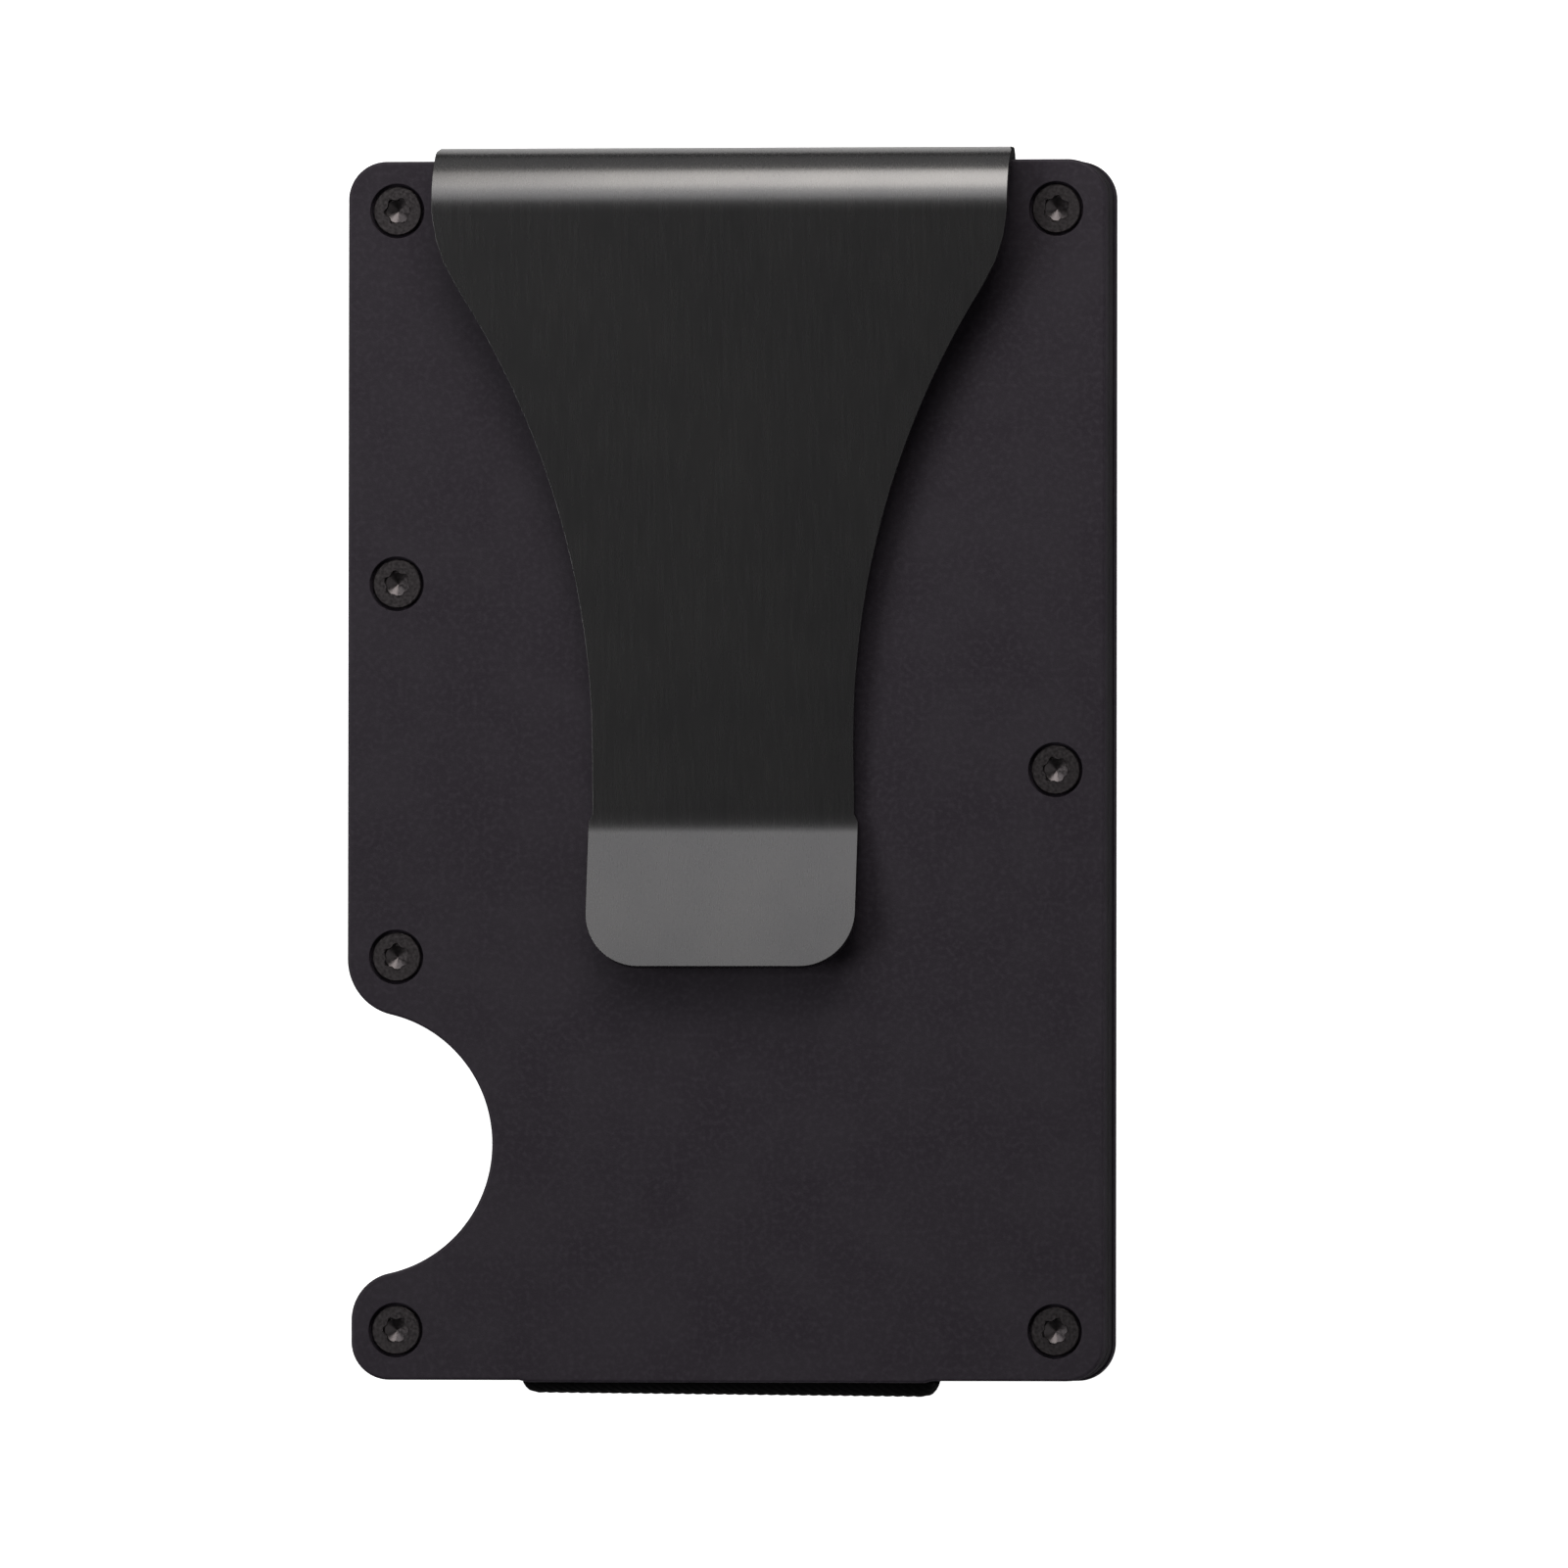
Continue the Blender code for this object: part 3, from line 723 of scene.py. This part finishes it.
def strap_outline():
    """The side strap's section in X and Z: two runs with hemmed ends, turned round the edge."""
    low, high = STRAP_LOW.z, STRAP_HIGH.z
    wall = ELASTIC_THICKNESS
    right = STRAP_HIGH.x
    hem = right - HEM_LENGTH
    turn_x = STRAP_LOW.x + ELASTIC_CORNER
    turn_low = (turn_x, low + ELASTIC_CORNER)
    turn_high = (turn_x, high - ELASTIC_CORNER)
    inner = ELASTIC_CORNER - wall
    outline = arc((right - HEM_ROUND, high - HEM_ROUND), HEM_ROUND, 0, 90, 4)
    outline += arc(turn_high, ELASTIC_CORNER, 90, 180, 12)
    upright = turn_high[1] - turn_low[1]
    outline += [(STRAP_LOW.x, turn_high[1] - upright * k / 6) for k in range(1, 6)]
    outline += arc(turn_low, ELASTIC_CORNER, 180, 270, 12)
    outline += arc((right - HEM_ROUND, low + HEM_ROUND), HEM_ROUND, 270, 360, 4)
    outline += [(right, low + HEM_THICKNESS), (hem, low + HEM_THICKNESS), (hem - HEM_ROUND, low + wall)]
    outline += arc(turn_low, inner, 270, 180, 6)
    outline += [(STRAP_LOW.x + wall, turn_low[1] + upright * k / 6) for k in range(1, 6)]
    outline += arc(turn_high, inner, 180, 90, 6)
    outline += [(hem - HEM_ROUND, high - wall), (hem, high - HEM_THICKNESS), (right, high - HEM_THICKNESS)]
    return outline


def make_side_strap(material):
    """The short elastic over the notch side, ribbed along its length."""
    outline = strap_outline()
    count = len(outline)
    normals = []
    for i in range(count):
        along = Vector(outline[(i + 1) % count]) - Vector(outline[i - 1])
        normals.append(Vector((along.y, -along.x)).normalized())
    steps = round((STRAP_HIGH.y - STRAP_LOW.y) / RIB_PITCH) * RIB_STEPS
    rings = []
    for k in range(steps + 1):
        y = STRAP_LOW.y + (STRAP_HIGH.y - STRAP_LOW.y) * k / steps
        sink = RIB_HEIGHT - rib(y - STRAP_LOW.y)
        if k in (0, steps):
            sink = STRAP_EDGE_SINK
        rings.append([(x + n.x * sink, y, z + n.y * sink) for (x, z), n in zip(outline, normals)])
    obj = new_object("elastic_strap", mesh_from("elastic_strap", *stacked(rings)))
    finish_elastic(obj, material, "elastic_side_strap")


def finish_elastic(obj, material, node):
    """Gives an elastic its material and smooth shading, bakes its transform and hides its CAD node."""
    obj.data.materials.append(material)
    obj.data.shade_smooth()
    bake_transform(obj)
    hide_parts(node)


# ---------------------------------------------------------------- materials


class Shader:
    """A Principled material and the few nodes that it needs."""

    def __init__(self, name, metallic, specular=0.5):
        self.material = bpy.data.materials.new(name)
        self.material.use_nodes = True
        self.tree = self.material.node_tree
        self.surface = self.tree.nodes["Principled BSDF"]
        self.surface.inputs["Metallic"].default_value = metallic
        self.surface.inputs["Specular IOR Level"].default_value = specular
        self.place = self.tree.nodes.new("ShaderNodeTexCoord").outputs["Object"]

    def node(self, kind, **settings):
        made = self.tree.nodes.new(kind)
        for key, value in settings.items():
            setattr(made, key, value)
        return made

    def link(self, source, target):
        self.tree.links.new(source, target)

    def stretched(self, scale):
        """The place in the object, scaled along each axis."""
        mapping = self.node("ShaderNodeMapping")
        mapping.inputs["Scale"].default_value = scale
        self.link(self.place, mapping.inputs["Vector"])
        return mapping.outputs["Vector"]

    def noise(self, scale, detail=3.0, roughness=0.5, stretch=None):
        """A noise value from 0 to 1. The scale is in features per metre."""
        made = self.node("ShaderNodeTexNoise")
        made.inputs["Scale"].default_value = scale
        made.inputs["Detail"].default_value = detail
        made.inputs["Roughness"].default_value = roughness
        self.link(self.stretched(stretch) if stretch else self.place, made.inputs["Vector"])
        return made.outputs["Fac"]

    def spread(self, value, low, high, start=0.3, end=0.7):
        """The value from start to end, spread over low to high."""
        made = self.node("ShaderNodeMapRange")
        made.inputs["From Min"].default_value = start
        made.inputs["From Max"].default_value = end
        made.inputs["To Min"].default_value = low
        made.inputs["To Max"].default_value = high
        self.link(value, made.inputs["Value"])
        return made.outputs["Result"]

    def mix(self, share, first, second):
        """A colour between two colours or colour outputs."""
        made = self.node("ShaderNodeMix", data_type="RGBA")
        self.link(share, made.inputs["Factor"])
        for value, name in ((first, "A"), (second, "B")):
            socket = next(s for s in made.inputs if s.name == name and s.type == "RGBA")
            if isinstance(value, tuple):
                socket.default_value = (*value, 1.0)
            else:
                self.link(value, socket)
        return next(s for s in made.outputs if s.type == "RGBA")

    def bump(self, height, distance):
        """A normal for a surface that rises by up to the distance, in metres."""
        made = self.node("ShaderNodeBump")
        made.inputs["Distance"].default_value = distance
        made.inputs["Strength"].default_value = 1.0
        self.link(height, made.inputs["Height"])
        return made.outputs["Normal"]


def anodised(name, dark, light, roughness):
    """Matte black anodised aluminium: a faint purple cloud in the dye and a bead-blasted grain."""
    shader = Shader(name, metallic=0.0, specular=0.2)
    cloud = shader.noise(220.0, detail=4.0)
    fine = shader.noise(2600.0, detail=2.0)
    base = shader.mix(shader.spread(cloud, 0.0, 1.0, 0.35, 0.65), dark, light)
    speckle = shader.mix(shader.spread(fine, 0.0, 1.0, 0.45, 0.75), base, tuple(v * 1.25 for v in light))
    shader.link(speckle, shader.surface.inputs["Base Color"])
    shader.link(shader.spread(fine, roughness - 0.05, roughness + 0.06), shader.surface.inputs["Roughness"])
    grain = shader.noise(9000.0, detail=2.0, roughness=0.6)
    shader.link(shader.bump(grain, 0.000012), shader.surface.inputs["Normal"])
    return shader.material


def spring_steel():
    """Dark coated spring steel with a fine brushing along the tongue."""
    shader = Shader("dark_spring_steel", metallic=1.0)
    brushing = shader.noise(1200.0, detail=3.0, stretch=(4.0, 0.12, 4.0))
    cloud = shader.noise(160.0, detail=3.0)
    base = shader.mix(shader.spread(cloud, 0.0, 1.0), (0.142, 0.140, 0.142), (0.158, 0.155, 0.155))
    shader.link(base, shader.surface.inputs["Base Color"])
    shader.link(shader.spread(brushing, 0.262, 0.278), shader.surface.inputs["Roughness"])
    shader.link(shader.bump(brushing, 0.0000008), shader.surface.inputs["Normal"])
    return shader.material


def screw_steel():
    """Black oxide steel, a little brown, with wear on its grain."""
    shader = Shader("black_oxide_steel", metallic=1.0)
    wear = shader.noise(5000.0, detail=3.0)
    base = shader.mix(shader.spread(wear, 0.0, 1.0), (0.084, 0.075, 0.078), (0.118, 0.107, 0.110))
    shader.link(base, shader.surface.inputs["Base Color"])
    shader.link(shader.spread(wear, 0.28, 0.40), shader.surface.inputs["Roughness"])
    shader.link(shader.bump(wear, 0.000006), shader.surface.inputs["Normal"])
    return shader.material


def elastic():
    """Black woven elastic: fine threads over the ribs."""
    shader = Shader("black_elastic", metallic=0.0, specular=0.08)
    threads = shader.node("ShaderNodeTexWave", wave_type="BANDS", bands_direction="DIAGONAL")
    threads.inputs["Scale"].default_value = 900.0
    threads.inputs["Distortion"].default_value = 1.2
    shader.link(shader.place, threads.inputs["Vector"])
    weave = threads.outputs["Fac"]
    base = shader.mix(weave, (0.0010, 0.0010, 0.0012), (0.0035, 0.0034, 0.0037))
    shader.link(base, shader.surface.inputs["Base Color"])
    shader.surface.inputs["Sheen Weight"].default_value = 0.01
    shader.link(shader.spread(weave, 0.75, 0.92, 0.0, 1.0), shader.surface.inputs["Roughness"])
    shader.link(shader.bump(weave, 0.00003), shader.surface.inputs["Normal"])
    return shader.material


# ---------------------------------------------------------------- studio


def glowing(name, strength):
    """A plain white surface that glows a little, like a light table."""
    shader = Shader(name, metallic=0.0, specular=0.0)
    shader.surface.inputs["Base Color"].default_value = (0.9, 0.9, 0.9, 1.0)
    shader.surface.inputs["Roughness"].default_value = 1.0
    shader.surface.inputs["Emission Color"].default_value = (1.0, 1.0, 1.0, 1.0)
    shader.surface.inputs["Emission Strength"].default_value = strength
    return shader.material


def sheet_on_floor(name, low, high, z, material):
    """A flat rectangle between two (x, y) corners, kept out of the object."""
    points = [(low[0], low[1], z), (high[0], low[1], z), (high[0], high[1], z), (low[0], high[1], z)]
    obj = new_object(name, mesh_from(name, points, [(0, 1, 2, 3)]))
    obj.data.materials.append(material)
    return obj


def make_floor():
    """The white floor, and a dim card behind the clip that only the far side of its bend reflects."""
    size = FLOOR_HALF
    white = glowing("white_floor", 1.0)
    floor = sheet_on_floor("floor", (-size, -size), (size, size), -FLOOR_DROP, white)
    floor.visible_glossy = False
    near = CLIP_HIGH.y + CARD_GAP
    low, high = (-HEAD_HALF - CARD_PAST_LEFT, near), (HEAD_HALF, near + CARD_DEPTH)
    card = sheet_on_floor("card", low, high, 0.0, glowing("dim_card", 0.40))
    card.visible_camera = False
    card.visible_diffuse = False
    card.visible_shadow = False


def make_backdrop():
    """A white dome that only the camera sees, so that every view has plain pale ground behind it."""
    mesh = bpy.data.meshes.new("backdrop")
    bm = bmesh.new()
    bmesh.ops.create_uvsphere(bm, u_segments=48, v_segments=24, radius=BACKDROP_RADIUS)
    bm.to_mesh(mesh)
    bm.free()
    mesh.materials.append(glowing("white_backdrop", 1.0))
    dome = new_object("backdrop", mesh)
    dome.visible_diffuse = False
    dome.visible_glossy = False
    dome.visible_shadow = False


def make_light(name, direction, distance, size, power, colour=(1.0, 1.0, 1.0)):
    """A rectangular softbox that faces the wallet from a direction."""
    data = bpy.data.lights.new(name, "AREA")
    data.color = colour
    data.shape = "RECTANGLE"
    data.size, data.size_y = size
    data.energy = power
    obj = bpy.data.objects.new(name, data)
    out = Vector(direction).normalized()
    obj.location = Vector((0.0, 0.0, FACE_Z)) + out * distance
    obj.rotation_mode = "QUATERNION"
    obj.rotation_quaternion = (-out).to_track_quat("-Z", "Y")
    bpy.context.scene.collection.objects.link(obj)


def leaning(degrees, towards):
    """A direction that leans from straight up by an angle, towards a compass angle from +X."""
    lean, turn = math.radians(degrees), math.radians(towards)
    return (math.sin(lean) * math.cos(turn), math.sin(lean) * math.sin(turn), math.cos(lean))


def make_lights():
    """Seven softboxes, with sizes and distances in metres and powers in watts, and a faint white world."""
    make_light("top_softbox", leaning(54, 84), 0.250, (0.15, 0.122), 0.232, (1.0, 0.975, 0.935))
    make_light("corner_softbox", leaning(54, 130), 0.30, (0.15, 0.15), 0.115)
    make_light("lip_panel", leaning(30, 95), 0.50, (0.30, 0.15), 0.184, (0.985, 0.985, 1.0))
    make_light("back_wall", leaning(88, 90), 0.90, (0.80, 0.50), 0.38)
    make_light("key_softbox", leaning(41, 184), 0.90, (0.42, 0.42), 2.26)
    make_light("fill_softbox", leaning(60, 345), 0.80, (0.90, 0.90), 0.80)
    make_light("right_wall", leaning(88, 5), 0.90, (0.80, 0.40), 0.45)
    world = bpy.data.worlds.new("studio")
    world.use_nodes = True
    background = world.node_tree.nodes["Background"]
    background.inputs["Color"].default_value = (1.0, 1.0, 1.0, 1.0)
    background.inputs["Strength"].default_value = WORLD_STRENGTH
    bpy.context.scene.world = world


def make_camera():
    """A long lens, almost straight above the wallet and leaning a little to its right."""
    data = bpy.data.cameras.new("camera")
    data.type = "PERSP"
    data.sensor_width = SENSOR_WIDTH
    data.lens = SENSOR_WIDTH * VIEW_DISTANCE / FRAME_WIDTH
    data.clip_start = 0.05
    data.clip_end = 20.0
    camera = bpy.data.objects.new("camera", data)
    out = Vector((math.sin(VIEW_RIGHT), -math.sin(VIEW_DOWN), 0.0))
    out.z = math.sqrt(1 - out.length_squared)
    camera.location = AIM + out * VIEW_DISTANCE
    camera.rotation_mode = "QUATERNION"
    side = Vector((0, 1, 0)).cross(out).normalized()
    up = out.cross(side)
    rolled = side * math.cos(VIEW_ROLL) + up * math.sin(VIEW_ROLL)
    turn = Matrix((rolled, out.cross(rolled), out)).transposed()
    camera.rotation_quaternion = turn.to_quaternion()
    bpy.context.scene.collection.objects.link(camera)
    bpy.context.scene.camera = camera


def build():
    plate = anodised("black_anodised_plate", (0.0284, 0.0224, 0.0309), (0.0344, 0.0287, 0.0371), 0.52)
    liner = anodised("black_anodised_liner", (0.0220, 0.0195, 0.0230), (0.0280, 0.0250, 0.0290), 0.52)
    for side in ("front", "back"):
        outer_plate(side, plate)
        inner_plate(side, liner)
    make_screws(screw_steel())
    make_clip(spring_steel())
    band = elastic()
    make_loop(band)
    make_side_strap(band)
    make_floor()
    make_backdrop()
    make_lights()
    make_camera()
    bpy.context.scene.view_settings.view_transform = "Standard"


build()
